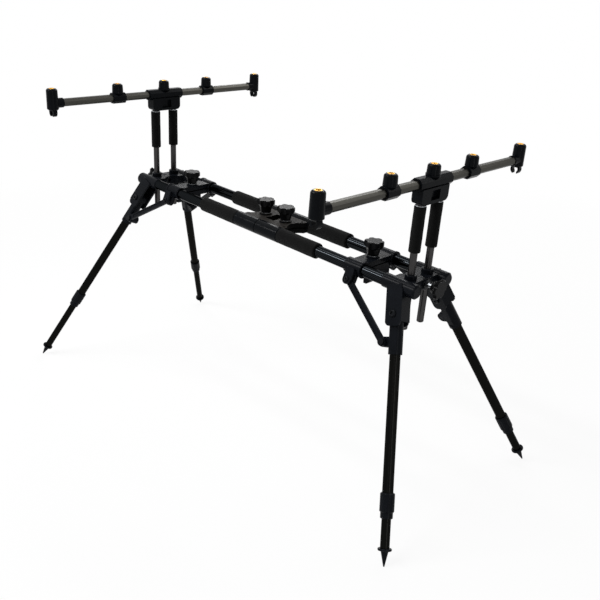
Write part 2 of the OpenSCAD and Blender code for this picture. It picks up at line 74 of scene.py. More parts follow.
# the photograph's camera in the level pod's frame: where it stands in metres, its azimuth, elevation and roll
# in degrees, and its lens and sensor in millimetres
CAMERA_PLACE = (1.04707, -0.99159, 0.49627)
CAMERA_TURN = (43.798, 25.039, 3.888)
CAMERA_LENS = 43.598
CAMERA_SENSOR = 36
# lamps: place from the pod's middle and direction of the first side, both sides in metres, and watts
LAMPS = {
    "key": ((-1.0, -1.8, 2.0), (1, 0, 0), (1.8, 0.25), 60),
    "top": ((-0.6, -0.3, 2.6), (1, 0, 0), (1.8, 0.3), 25),
    "back": ((-1.15, 1.65, 1.3), (1, 0, 0), (1.8, 0.25), 16),
    "side": ((0.4, 1.6, 1.7), (1, 0, 0), (1.4, 0.8), 10),
    "legs": ((2.5, -0.8, 0.3), (0, 1, 0), (0.25, 1.8), 9),
}
# light that a matt surface gets from all round
FILL = 0.12
# half the side of the floor in metres
FLOOR_HALF = 30
# the floor goes over into white between these distances from the middle, in metres
FLOOR_FADE = (0.7, 2.5)
# share of white in the floor near the pod and far away
FLOOR_WHITE = (0.9, 1.0)


def pod_matrix():
    """The level pod in the row frame: X along the rails to the front, Z up, origin midway at rail height."""
    along = Vector(JOINTS["front_rails_draw"]["axis"])
    up = Vector(JOINTS["front_bar_height"]["axis"])
    across = up.cross(along)
    knobs = [Vector(JOINTS[f"{end}_slider_knob_turn"]["pos_m"]) for end in ENDS]
    origin = (knobs[0] + knobs[1]) / 2 - up * SLIDER_BOSS
    turn = Matrix((along, across, up)).transposed().to_4x4()
    return Matrix.Translation(origin) @ turn


POD = pod_matrix()
LEVEL = POD.inverted()
UP = POD.to_3x3() @ Vector((0, 0, 1))


def outward(end):
    """The direction along the rails from the pod's middle to an end, in the row frame."""
    return POD.to_3x3() @ Vector((ENDS[end], 0, 0))


def linear(code):
    """An sRGB hex value as linear red, green and blue."""
    parts = [int(code[i:i + 2], 16) / 255 for i in (1, 3, 5)]
    return tuple(c / 12.92 if c <= 0.04045 else ((c + 0.055) / 1.055) ** 2.4 for c in parts)


def colour(name, words, code):
    return bpy.props.FloatVectorProperty(
        name=name, description=words, subtype="COLOR", size=3, min=0, max=1, default=linear(code)
    )


def length(name, words, millimetres):
    return bpy.props.FloatProperty(
        name=name, description=words, unit="LENGTH", min=0, precision=5, default=millimetres * MM
    )


class PodColours(bpy.types.PropertyGroup):
    """Colours of the pod's finishes"""

    moulding: colour("Moulding", "Sliders, end blocks and legs", "#101216")
    boss: colour("Bosses", "Tees, bosses and hub sleeves", "#0b0d10")
    plate: colour("Hub plate", "Matt top of the hub", "#211f1d")
    # the walls between the hub's sleeves are coloured darker than the moulding: painted shade for the shadow in
    # that hollow
    painted_shade_wall: colour("Hub walls, painted shade", "Walls between the hub's sleeves", "#080808")
    knob: colour("Knobs", "Star knobs", "#0d0d0e")
    foam: colour("Foam", "Grips on the rails and uprights", "#0c0c0c")
    rail: colour("Rails", "Wrapped rail tubes", "#1a1c1e")
    leg: colour("Legs", "Leg tubes and inner legs", "#111110")
    upright: colour("Uprights", "Posts under the bars", "#3a3939")
    bar: colour("Bars", "Cross bars", "#42413d")
    brass: colour("Inserts", "Threaded inserts", "#f0b43c")
    steel: colour("Steel", "Studs and trim rings", "#9a9da0")
    zinc: colour("Zinc", "Washers under the knobs", "#a0a3a6")
    black_steel: colour("Black steel", "Bolts, nuts and pins", "#17181a")
    floor: colour("Floor", "Studio floor", "#f6f6f6")


class PodSizes(bpy.types.PropertyGroup):
    """Sizes of what is made here"""

    rail_spacing: length("Rail spacing", "Distance between the rail axes", 90)
    rail_d: length("Rail diameter", "Outside of a rail", 22.5)
    upright_spacing: length("Upright spacing", "Distance between the two posts of a bar", 48)
    upright_d: length("Upright diameter", "Outside of an upright", 13)
    upright_grip_low: length("Upright grip, lower end", "Distance below the bar's axis", 120)
    upright_grip_high: length("Upright grip, upper end", "Distance below the bar's axis", 38)
    foam_t: length("Foam thickness", "Wall of the foam", 4)
    foam_edge: length("Foam edge", "Radius of the foam's rounded ends", 1.6)
    trim_h: length("Trim ring", "Height of the ring over an upright's grip", 1.4)
    trim_t: length("Trim ring wall", "Wall of the ring over an upright's grip", 3.2)
    trim_edge: length("Trim ring edge", "Radius of the ring's rounded edges", 0.56)
    foam_wave: length("Foam waves", "Distance between the soft waves in the foam's surface", 14)
    foam_wave_h: length("Foam wave height", "Height of the soft waves in the foam's surface", 0.25)
    edge: length("Edge", "Radius of the moulded edges", 0.6)
    tube_edge: length("Tube edge", "Radius of the edges of rails and legs", 0.25)
    upright_edge: length("Upright edge", "Radius of the edges of the uprights", 0.4)
    bar_edge: length("Bar edge", "Radius of the bars' edges", 0.5)
    insert_edge: length("Insert edge", "Radius of the edges of rests and inserts", 0.4)
    knob_edge: length("Knob edge", "Radius of the knobs' edges", 0.9)
    insert_d: length("Insert diameter", "Outside of a brass insert", 11.54)
    arm_in: length("Arm, inner face", "Distance of an arm's inner face from the leg's plane", 10.5)
    arm_out: length("Arm, outer face", "Distance of an arm's outer face from the leg's plane", 15.7)
    knob_low: length("Knob", "Height of a knob's underside over its seat", 1.63)
    block_knob_low: length("End knob", "Distance of an end knob's underside from its seat", 13.9)
    washer_t: length("Washer", "Height of a washer's top over its seat", 1.65)
    stud_room: length("Stud", "Radius within which a knob's stud lies", 5)
    bolt_d: length("Pivot bolt head", "Diameter of a leg bolt's head", 13)
    bolt_h: length("Pivot bolt head height", "Height of a leg bolt's head", 4)
    cheek: length("Bracket face", "Distance of a bracket's face from the leg's axis", 14.7)
    ear_back: length("Ear bolt, back", "Distance of the ear bolt behind the leg's pivot", 113.44)
    ear_rise: length("Ear bolt, rise", "Height of the ear bolt over the leg's pivot", 22.85)
    ear_out: length("Ear face", "Distance of the outer ear's face from the leg's plane", 19.9)
    ear_in: length("Ear back", "Distance of the inner ear's back from the leg's plane", 1)
    ear_bolt_d: length("Ear bolt head", "Diameter of an ear bolt's head", 9.5)
    ear_bolt_h: length("Ear bolt head height", "Height of an ear bolt's head", 3.23)
    ear_nut_h: length("Ear nut height", "Height of an ear bolt's nut", 3.8)
    screw_x: length("Hub screw, along", "Distance of a hub screw from the hub's seam", 53)
    screw_y: length("Hub screw, across", "Distance of a hub screw from the middle line", 25)
    screw_z: length("Hub screw, height", "Height of a hub screw's seat over the rail axes", 6)
    screw_d: length("Hub screw head", "Diameter of a hub screw's head", 4.9)
    screw_h: length("Hub screw head height", "Height of a hub screw's head", 2.695)
    hub_plate: length("Hub plate", "Half the width of the hub between its sleeves", 32.625)


class PodSettings(bpy.types.PropertyGroup):
    """Settings of the rod pod"""

    colours: bpy.props.PointerProperty(name="Colours", description="Colours of the finishes", type=PodColours)
    sizes: bpy.props.PointerProperty(name="Sizes", description="Sizes of the added pieces", type=PodSizes)


def settings():
    return bpy.context.scene.rod_pod


def add(tree, kind, options=None, inputs=None):
    """One node with its options set and its inputs given values or linked."""
    node = tree.nodes.new(kind)
    for name, value in (options or {}).items():
        setattr(node, name, value)
    for name, value in (inputs or {}).items():
        if isinstance(value, bpy.types.NodeSocket):
            tree.links.new(value, node.inputs[name])
        else:
            node.inputs[name].default_value = value
    return node


def finish_of(name, shader):
    """A new material of that name, with its surface shader set from a dict of plain values."""
    material = bpy.data.materials.new(name)
    material.use_nodes = True
    tree = material.node_tree
    surface = tree.nodes["Principled BSDF"]
    for key, value in shader.items():
        surface.inputs[key].default_value = value
    place = add(tree, "ShaderNodeTexCoord").outputs["Object"]
    return material, tree, surface, place


def dark_metal(roughness, edge):
    """Shader values of an anodised metal, whose dye also darkens what it mirrors at a flat angle."""
    return {"Metallic": 1.0, "Roughness": roughness, "Specular Tint": (edge, edge, edge, 1)}


def vary(tree, surface, rgb, factor, dark, light):
    """Lets a factor move the base colour between a darker and a lighter shade."""
    low, high = ((*[min(1, c * shade) for c in rgb], 1) for shade in (dark, light))
    mix = add(tree, "ShaderNodeMix", {"data_type": "RGBA"}, {0: factor, 6: low, 7: high})
    tree.links.new(mix.outputs["Result"], surface.inputs["Base Color"])


def roughen(tree, surface, factor, low, high):
    """Lets a factor move the roughness between two values."""
    spread = add(tree, "ShaderNodeMapRange", None, {"Value": factor, "To Min": low, "To Max": high})
    tree.links.new(spread.outputs["Result"], surface.inputs["Roughness"])


def emboss(tree, surface, height, depth, strength):
    """Bump of a real depth in millimetres."""
    bump = add(tree, "ShaderNodeBump", None, {"Height": height, "Distance": depth * MM, "Strength": strength})
    tree.links.new(bump.outputs["Normal"], surface.inputs["Normal"])


def per(millimetres):
    """The scale of a noise or cell pattern whose features have that size."""
    return 1 / (millimetres * MM)


def level_place(tree, place):
    """The place on the object as X, Y and Z of the level pod."""
    level = add(
        tree,
        "ShaderNodeMapping",
        {"vector_type": "TEXTURE"},
        {"Vector": place, "Location": POD.to_translation(), "Rotation": POD.to_euler()},
    )
    return level.outputs["Vector"]


def moulded_nylon(name, rgb, roughness, specular):
    """Glass-filled nylon, moulded in a spark-eroded tool: a satin black with a fine even grain."""
    material, tree, surface, place = finish_of(
        name, {"IOR": 1.53, "Specular IOR Level": specular, "Roughness": roughness}
    )
    # the grain is about 0.3 mm and is drawn at 0.9 mm so that it shows
    grain = add(tree, "ShaderNodeTexNoise", None, {"Vector": place, "Scale": per(0.9), "Detail": 3.0})
    # slow unevenness where the moulding cooled
    flow = add(tree, "ShaderNodeTexNoise", None, {"Vector": place, "Scale": per(28), "Detail": 2.0})
    vary(tree, surface, rgb, flow.outputs["Fac"], 0.75, 1.3)
    roughen(tree, surface, flow.outputs["Fac"], roughness - 0.07, roughness + 0.1)
    emboss(tree, surface, grain.outputs["Fac"], 0.08, 0.5)
    return material


def closed_cell_foam(name, rgb):
    """EVA foam, skived and glued into sleeves: dead matt, with open cells that catch a little light."""
    matt = {"IOR": 1.4, "Specular IOR Level": 0.1, "Roughness": 0.95}
    material, tree, surface, place = finish_of(name, {**matt, "Sheen Weight": 0.03, "Sheen Roughness": 0.6})
    # cells of about 0.5 mm, drawn at 1.1 mm so that they show
    cells = add(tree, "ShaderNodeTexVoronoi", None, {"Vector": place, "Scale": per(1.1)})
    patches = add(tree, "ShaderNodeTexNoise", None, {"Vector": place, "Scale": per(9), "Detail": 4.0})
    vary(tree, surface, rgb, patches.outputs["Fac"], 0.6, 1.35)
    emboss(tree, surface, cells.outputs["Distance"], 0.35, 0.6)
    return material


def wrapped_tube(name, rgb):
    """Aluminium tube with a lacquered twill wrap: dark gloss with narrow lines of light and a faint slant."""
    material, tree, surface, place = finish_of(name, dark_metal(0.1, 0.5))
    split = add(tree, "ShaderNodeSeparateXYZ", None, {"Vector": level_place(tree, place)}).outputs
    side = add(tree, "ShaderNodeMath", {"operation": "ABSOLUTE"}, {0: split["Y"]})
    off = add(
        tree, "ShaderNodeMath", {"operation": "SUBTRACT"},
        {0: side.outputs[0], 1: settings().sizes.rail_spacing / 2},
    )
    angle = add(tree, "ShaderNodeMath", {"operation": "ARCTAN2"}, {0: off.outputs[0], 1: split["Z"]})
    around = add(
        tree, "ShaderNodeMath", {"operation": "MULTIPLY"},
        {0: angle.outputs[0], 1: settings().sizes.rail_d / 2},
    )
    unrolled = add(tree, "ShaderNodeCombineXYZ", None, {"X": split["X"], "Y": around.outputs[0]})
    # tows of 2 mm, drawn 5 mm wide so that the slant shows: diagonal bands are pi / 5 wide at scale 1
    slant = add(
        tree, "ShaderNodeTexWave", {"bands_direction": "DIAGONAL"},
        {"Vector": unrolled.outputs[0], "Scale": math.pi / 5 / (5 * MM)},
    )
    vary(tree, surface, rgb, slant.outputs["Fac"], 0.6, 1.4)
    roughen(tree, surface, slant.outputs["Fac"], 0.14, 0.07)
    emboss(tree, surface, slant.outputs["Fac"], 0.12, 0.1)
    return material


def drawn_tube(name, rgb, roughness, edge):
    """Aluminium tube, drawn and then anodised: satin metal with faint lengthwise drag lines."""
    material, tree, surface, place = finish_of(name, dark_metal(roughness, edge))
    drawn = add(tree, "ShaderNodeMapping", None, {"Vector": place, "Scale": (1, 1, 0.06)})
    # drag lines of about 0.5 mm, drawn at 1.5 mm so that they show
    streaks = {"Vector": drawn.outputs[0], "Scale": per(1.5), "Detail": 3.0}
    lines = add(tree, "ShaderNodeTexNoise", None, streaks)
    vary(tree, surface, rgb, lines.outputs["Fac"], 0.7, 1.35)
    roughen(tree, surface, lines.outputs["Fac"], roughness - 0.08, roughness + 0.1)
    return material


def brushed_bar(name, rgb):
    """Aluminium bar, extruded, brushed along its length and anodised gunmetal: broad soft reflections."""
    material, tree, surface, place = finish_of(name, dark_metal(0.32, 0.65))
    drawn = add(tree, "ShaderNodeMapping", None, {"Vector": place, "Scale": (1, 0.03, 1)})
    # brush lines of about 0.4 mm, drawn at 1.2 mm so that they show
    streaks = {"Vector": drawn.outputs[0], "Scale": per(1.2), "Detail": 4.0}
    lines = add(tree, "ShaderNodeTexNoise", None, streaks)
    vary(tree, surface, rgb, lines.outputs["Fac"], 0.75, 1.25)
    roughen(tree, surface, lines.outputs["Fac"], 0.24, 0.4)
    emboss(tree, surface, lines.outputs["Fac"], 0.03, 0.4)
    return material


def turned_metal(name, rgb, roughness):
    """Brass or steel turned on a lathe: bright, with fine tool marks seen as a slight haze."""
    material, tree, surface, place = finish_of(name, {"Metallic": 1.0, "Roughness": roughness})
    # tool marks of about 0.2 mm, drawn at 0.8 mm so that they show
    tool = add(tree, "ShaderNodeTexNoise", None, {"Vector": place, "Scale": per(0.8), "Detail": 2.0})
    vary(tree, surface, rgb, tool.outputs["Fac"], 0.85, 1.1)
    roughen(tree, surface, tool.outputs["Fac"], roughness - 0.06, roughness + 0.08)
    return material


def threaded_brass(name, rgb):
    """Brass cut with an internal thread: rings of light and shade down the hole."""
    material, tree, surface, place = finish_of(name, {"Metallic": 1.0, "Roughness": 0.24})
    # a pitch of 1.27 mm along the hole: straight bands are pi / 10 wide at scale 1
    thread = add(
        tree, "ShaderNodeTexWave", {"bands_direction": "Z"},
        {"Vector": level_place(tree, place), "Scale": math.pi / 10 / (1.27 * MM)},
    )
    vary(tree, surface, rgb, thread.outputs["Fac"], 0.55, 1.1)
    roughen(tree, surface, thread.outputs["Fac"], 0.36, 0.2)
    emboss(tree, surface, thread.outputs["Fac"], 0.5, 0.8)
    return material


def finish(name):
    """The finish of that name, made once."""
    found = bpy.data.materials.get(name)
    if found:
        return found
    c = settings().colours
    makers = {
        "moulded_nylon": lambda: moulded_nylon(name, c.moulding, 0.24, 0.035),
        "moulded_boss": lambda: moulded_nylon(name, c.boss, 0.18, 0.035),
        "moulded_plate": lambda: moulded_nylon(name, c.plate, 0.6, 0.08),
        # the hub's walls: a darker matt moulding that paints the shade in the hollow between the sleeves
        "moulded_wall_painted_shade": lambda: moulded_nylon(name, c.painted_shade_wall, 0.7, 0.03),
        "moulded_knob": lambda: moulded_nylon(name, c.knob, 0.26, 0.045),
        "closed_cell_foam": lambda: closed_cell_foam(name, c.foam),
        "wrapped_rail": lambda: wrapped_tube(name, c.rail),
        "anodised_leg": lambda: drawn_tube(name, c.leg, 0.2, 0.55),
        "anodised_upright": lambda: drawn_tube(name, c.upright, 0.26, 0.6),
        "brushed_bar": lambda: brushed_bar(name, c.bar),
        "turned_brass": lambda: turned_metal(name, c.brass, 0.26),
        "threaded_brass": lambda: threaded_brass(name, c.brass),
        "plated_steel": lambda: turned_metal(name, c.steel, 0.3),
        "zinc_steel": lambda: turned_metal(name, c.zinc, 0.4),
        "blackened_steel": lambda: turned_metal(name, c.black_steel, 0.42),
    }
    return makers[name]()


def dress(node, *finishes, choose=None, edge=None):
    """Gives a CAD node its finishes and eased edges. choose(point, normal) picks a face's finish."""
    piece = frame["nodes"][node]
    piece.data.materials.clear()
    for name in finishes:
        piece.data.materials.append(finish(name))
    for face in piece.data.polygons:
        face.material_index = choose(LEVEL @ face.center, LEVEL.to_3x3() @ face.normal) if choose else 0
    weld = piece.modifiers.new("weld", "WELD")
    weld.merge_threshold = WELD
    ease = piece.modifiers.new("ease", "BEVEL")
    ease.width = edge or settings().sizes.edge
    ease.segments = 2
    ease.limit_method = "ANGLE"
    ease.angle_limit = EDGE_ANGLE
    normals = piece.modifiers.new("normals", "WEIGHTED_NORMAL")
    normals.weight = 60
    return piece


def piece_from(name, mesh, body, material):
    """A new piece from a bmesh in the row frame, riding on a body."""
    bmesh.ops.remove_doubles(mesh, verts=mesh.verts, dist=WELD)
    bmesh.ops.recalc_face_normals(mesh, faces=mesh.faces)
    data = bpy.data.meshes.new(name)
    mesh.to_mesh(data)
    mesh.free()
    data.shade_smooth()
    data.set_sharp_from_angle(angle=EDGE_ANGLE)
    data.materials.append(finish(material))
    piece = bpy.data.objects.new(name, data)
    bpy.context.scene.collection.objects.link(piece)
    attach(piece, body)
    return piece


def axle(point, direction):
    """A matrix at a point whose Z runs along a direction."""
    return Matrix.Translation(point) @ Vector(direction).to_track_quat("Z", "Y").to_matrix().to_4x4()


def lathe(mesh, profile, place, steps=48):
    """A closed section of (radius, height, flats) turned about Z. Six flats make that ring a hexagon."""
    rings = []
    for i in range(steps):
        turn = 2 * math.pi * i / steps
        ring = []
        for r, z, flats in profile:
            if flats:
                r /= math.cos((turn + math.pi / flats) % (2 * math.pi / flats) - math.pi / flats)
            ring.append(mesh.verts.new(place @ Vector((r * math.cos(turn), r * math.sin(turn), z))))
        rings.append(ring)
    for i in range(steps):
        here, there = rings[i], rings[(i + 1) % steps]
        for j in range(len(profile)):
            k = (j + 1) % len(profile)
            if profile[j][0] or profile[k][0]:
                mesh.faces.new((here[j], there[j], there[k], here[k]))


def rounded(r, z, edge, start, steps=5):
    """A quarter round of a section about (r, z), from an angle in quarters."""
    turns = [math.pi / 2 * (start + i / steps) for i in range(steps + 1)]
    return [(r + edge * math.cos(turn), z + edge * math.sin(turn), 0) for turn in turns]


def sleeve_section(inner, outer, low, high, edge):
    """Section of a sleeve with rounded outer ends and enough rows along it to be softened."""
    points = rounded(outer - edge, low + edge, edge, 3)
    rows = max(1, int((high - low) / ROW))
    for i in range(1, rows):
        points.append((outer, low + edge + (high - low - 2 * edge) * i / rows, 0))
    points += rounded(outer - edge, high - edge, edge, 0)
    return points + [(inner, high, 0), (inner, low, 0)]


def button_head(d, h):
    """Section of a button-head bolt from its seat over the dome into a hexagon socket."""
    rim = 0.25 * h
    socket = 0.24 * d
    deep = 0.35 * h
    lip = 0.2 * MM
    # the dome is drawn in steps of 15 degrees, up to where the socket cuts it off
    turns = [math.radians(15 * i) for i in range(4)]
    cut = math.radians(56.25)
    dome = [(d / 2 * math.cos(turn), rim + (h - rim) * math.sin(turn), 0) for turn in turns]
    top = rim + (h - rim) * math.sin(cut)
    return [
        (0, 0, 0), (d / 2, 0, 0), *dome, (1.25 * socket, top, 0),
        (socket, top - lip, 6), (socket, deep, 6), (0, deep, 0),
    ]


def lock_nut(d, h):
    """Section of a hexagon nut with a chamfered face and a round locking collar."""
    flat = d / 2 * math.cos(math.pi / 6)
    body = [(0, 0, 0), (flat, 0, 6), (flat, 0.62 * h, 6), (0.94 * flat, 0.7 * h, 0)]
    collar = [(0.8 * flat, 0.74 * h, 0), (0.72 * flat, h, 0), (0.42 * flat, h, 0)]
    bolt_end = [(0.38 * flat, 0.6 * h, 0), (0, 0.6 * h, 0)]
    return body + collar + bolt_end


def soften(mesh):
    """Moves each point a little along its normal, so that foam isn't perfectly even."""
    s = settings().sizes
    mesh.normal_update()
    for vert in mesh.verts:
        vert.co += vert.normal * s.foam_wave_h * noise.noise(vert.co / s.foam_wave)


def bar_axis(end):
    """The middle of a bar in the level pod's frame."""
    return LEVEL @ Vector(MOUNTS[f"{end}_middle_thread"]["pos_m"]) - Vector((0, 0, THREAD_MIDDLE))


def reach(node, end):
    """How far from the pod's middle a CAD node starts and ends along the rails."""
    places = [ENDS[end] * (LEVEL @ vert.co).x for vert in frame["nodes"][node].data.vertices]
    return min(places), max(places)


def leg_plane(end, side):
    """A leg's plane in the row frame: its pivot, then along the rail, out of the plane, and up."""
    fold = JOINTS[f"{end}_{side}_leg_fold"]
    away = Vector(fold["axis"])
    if away.y * SIDES[side] < 0:
        away.negate()
    along = outward(end)
    up = along.cross(away)
    if up.z < 0:
        up.negate()
    return Vector(fold["pos_m"]), along, away, up


class ROD_POD_OT_foam(bpy.types.Operator):
    """Foam grips on the rails and on the uprights, with the ring that finishes an upright's grip"""

    bl_idname = "rod_pod.foam"
    bl_label = "Foam grips"

    def execute(self, context):
        for end in ENDS:
            self.rail_grips(end)
            self.upright_grips(end)
            self.trim_rings(end)
        return {"FINISHED"}

    def rail_grips(self, end):
        s = settings().sizes
        mesh = bmesh.new()
        start, stop = reach(f"{end}_rail_grips", end)
        section = sleeve_section(s.rail_d / 2, s.rail_d / 2 + s.foam_t, start, stop, s.foam_edge)
        for side in SIDES.values():
            rail = POD @ Vector((0, side * s.rail_spacing / 2, 0))
            lathe(mesh, section, axle(rail, outward(end)))
        soften(mesh)
        grips = piece_from(f"{end}_rail_foam", mesh, f"{end}_half", "closed_cell_foam")
        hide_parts(f"{end}_rail_grips")

    def on_uprights(self, end, section):
        """A mesh with that section turned about both uprights of an end, measured from the bar's axis."""
        s = settings().sizes
        mesh = bmesh.new()
        for side in SIDES.values():
            post = POD @ (bar_axis(end) + Vector((0, side * s.upright_spacing / 2, 0)))
            lathe(mesh, section, axle(post, UP))
        return mesh

    def upright_grips(self, end):
        s = settings().sizes
        inner = s.upright_d / 2
        low, high = -s.upright_grip_low, -s.upright_grip_high
        mesh = self.on_uprights(end, sleeve_section(inner, inner + s.foam_t, low, high, s.foam_edge))
        soften(mesh)
        grips = piece_from(f"{end}_upright_foam", mesh, f"{end}_bar", "closed_cell_foam")
        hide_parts(f"{end}_upright_grips")

    def trim_rings(self, end):
        s = settings().sizes
        inner = s.upright_d / 2
        low = -s.upright_grip_high
        section = sleeve_section(inner, inner + s.trim_t, low, low + s.trim_h, s.trim_edge)
        mesh = self.on_uprights(end, section)
        piece_from(f"{end}_trim_rings", mesh, f"{end}_bar", "plated_steel")


class ROD_POD_OT_hub(bpy.types.Operator):
    """Finish of the hub's two halves, with their sunk screws"""

    bl_idname = "rod_pod.hub"
    bl_label = "Hub"

    def execute(self, context):
        s = settings().sizes
        for end in ENDS:
            # faces of the walls between the sleeves take the third, darker finish, which is painted shade
            dress(
                f"{end}_hub", "moulded_boss", "moulded_plate", "moulded_wall_painted_shade",
                choose=lambda at, normal: (
                    0 if abs(at.y) > s.hub_plate
                    else 1 if normal.z > LEVEL_FACE and at.z > s.screw_z
                    else 2 if abs(normal.x) > FACING else 0
                ),
            )
            mesh = bmesh.new()
            seam, _ = reach(f"{end}_hub", end)
            for side in SIDES.values():
                seat = POD @ Vector((ENDS[end] * (seam + s.screw_x), side * s.screw_y, s.screw_z))
                lathe(mesh, button_head(s.screw_d, s.screw_h), axle(seat, UP))
            piece_from(f"{end}_hub_screws", mesh, f"{end}_half", "blackened_steel")
        return {"FINISHED"}


class ROD_POD_OT_ends(bpy.types.Operator):
    """Finish of the end blocks and sliders, with the bolts through their brackets and ears"""

    bl_idname = "rod_pod.ends"
    bl_label = "End blocks and sliders"

    def execute(self, context):
        for end in ENDS:
            dress(f"{end}_end_block", "moulded_nylon")
            dress(f"{end}_slider", "moulded_nylon")
            self.pivot_bolts(end)
            self.ear_bolts(end)
        return {"FINISHED"}

    def pivot_bolts(self, end):
        s = settings().sizes
        mesh = bmesh.new()
        for side in SIDES:
            pivot, _, away, _ = leg_plane(end, side)
            lathe(mesh, button_head(s.bolt_d, s.bolt_h), axle(pivot + away * s.cheek, away))
            lathe(mesh, lock_nut(s.bolt_d, s.bolt_h), axle(pivot - away * s.cheek, -away))
        bolts = piece_from(f"{end}_pivot_bolts", mesh, f"{end}_half", "blackened_steel")
        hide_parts(f"{end}_leg_bolts")

    def ear_bolts(self, end):
        s = settings().sizes
        mesh = bmesh.new()
        for side in SIDES:
            pivot, along, away, up = leg_plane(end, side)
            pin = pivot - along * s.ear_back + up * s.ear_rise
            lathe(mesh, button_head(s.ear_bolt_d, s.ear_bolt_h), axle(pin + away * s.ear_out, away))
            lathe(mesh, lock_nut(s.ear_bolt_d, s.ear_nut_h), axle(pin + away * s.ear_in, -away))
        piece_from(f"{end}_ear_bolts", mesh, f"{end}_slider", "blackened_steel")


class ROD_POD_OT_legs(bpy.types.Operator):
    """Finish of the legs, their collars, spikes and support arms"""

    bl_idname = "rod_pod.legs"
    bl_label = "Legs"

    def execute(self, context):
        for end in ENDS:
            for side in SIDES:
                leg = f"{end}_{side}"
                for name in ("leg_head", "collar", "spike"):
                    dress(f"{leg}_{name}", "moulded_nylon")
                for name in ("leg_tube", "inner_leg"):
                    dress(f"{leg}_{name}", "anodised_leg", edge=settings().sizes.tube_edge)
                self.arm(end, side)
        return {"FINISHED"}

    def arm(self, end, side):
        """The pin stands out of the arm's two faces."""
        s = settings().sizes
        pivot, _, away, _ = leg_plane(end, side)

        def choose(at, normal):
            off = (POD @ at - pivot).dot(away)
            return int(off < s.arm_in or off > s.arm_out)

        dress(f"{end}_{side}_arm", "moulded_nylon", "blackened_steel", choose=choose)


class ROD_POD_OT_tubes(bpy.types.Operator):
    """Finish of the rails, uprights and bars"""

    bl_idname = "rod_pod.tubes"
    bl_label = "Tubes"

    def execute(self, context):
        s = settings().sizes
        dress("rail_cores", "wrapped_rail", edge=s.tube_edge)
        for end in ENDS:
            dress(f"{end}_rails", "wrapped_rail", edge=s.tube_edge)
            dress(f"{end}_uprights", "anodised_upright", edge=s.upright_edge)
            dress(f"{end}_bar", "brushed_bar", edge=s.bar_edge)
        return {"FINISHED"}


class ROD_POD_OT_bosses(bpy.types.Operator):
    """Finish of the tees, end bosses and sliding rests, with their brass inserts"""

    bl_idname = "rod_pod.bosses"
    bl_label = "Bosses"

    def execute(self, context):
        for end in ENDS:
            dress(f"{end}_tee", "moulded_boss")
            dress(f"{end}_bar_ends", "moulded_boss")
            threads = [self.thread(f"{end}_{name}_thread") for name in ("left_end", "middle", "right_end")]
            self.brass(f"{end}_inserts", threads)
            for side in SIDES:
                self.brass(f"{end}_{side}_rest", [self.thread(f"{end}_{side}_rest_thread")])
        return {"FINISHED"}

    def thread(self, mount):
        return LEVEL @ Vector(MOUNTS[mount]["pos_m"])

    def brass(self, node, threads):
        """Faces near a thread's axis are brass, and those of the hole itself are threaded."""
        s = settings().sizes
        hole = MOUNTS["front_middle_thread"]["dims"]
        bore = hole["r_mm"] * MM
        half = hole["length_mm"] * MM / 2

        def choose(at, normal):
            for thread in threads:
                off = (at - thread).to_2d().length
                if off < s.insert_d / 2 and abs(at.z - thread.z) < half + s.insert_edge / 2:
                    return 2 if off < bore and abs(normal.z) < FACING else 1
            return 0

        dress(node, "moulded_boss", "turned_brass", "threaded_brass", choose=choose, edge=s.insert_edge)


class ROD_POD_OT_knobs(bpy.types.Operator):
    """Finish of the star knobs, with their washers and studs"""

    bl_idname = "rod_pod.knobs"
    bl_label = "Knobs"

    def execute(self, context):
        s = settings().sizes
        for end in ENDS:
            self.knob(f"{end}_hub_knob", s.knob_low, "zinc_steel")
            self.knob(f"{end}_slider_knob", s.knob_low, "zinc_steel")
            self.knob(f"{end}_block_knob", s.block_knob_low, "blackened_steel")
        return {"FINISHED"}

    def knob(self, node, head, washer):
        """What lies under the head is the washer, and then the stud."""
        s = settings().sizes
        turn = JOINTS[f"{node}_turn"]
        seat = Vector(turn["pos_m"])
        axis = Vector(turn["axis"])

        def choose(at, normal):
            off = (POD @ at - seat).dot(axis)
            across = (POD @ at - seat - axis * off).length
            if off > head:
                return 0
            return 1 if 0 < off < s.washer_t and across > s.stud_room else 2

        dress(node, "moulded_knob", washer, "plated_steel", choose=choose, edge=s.knob_edge)


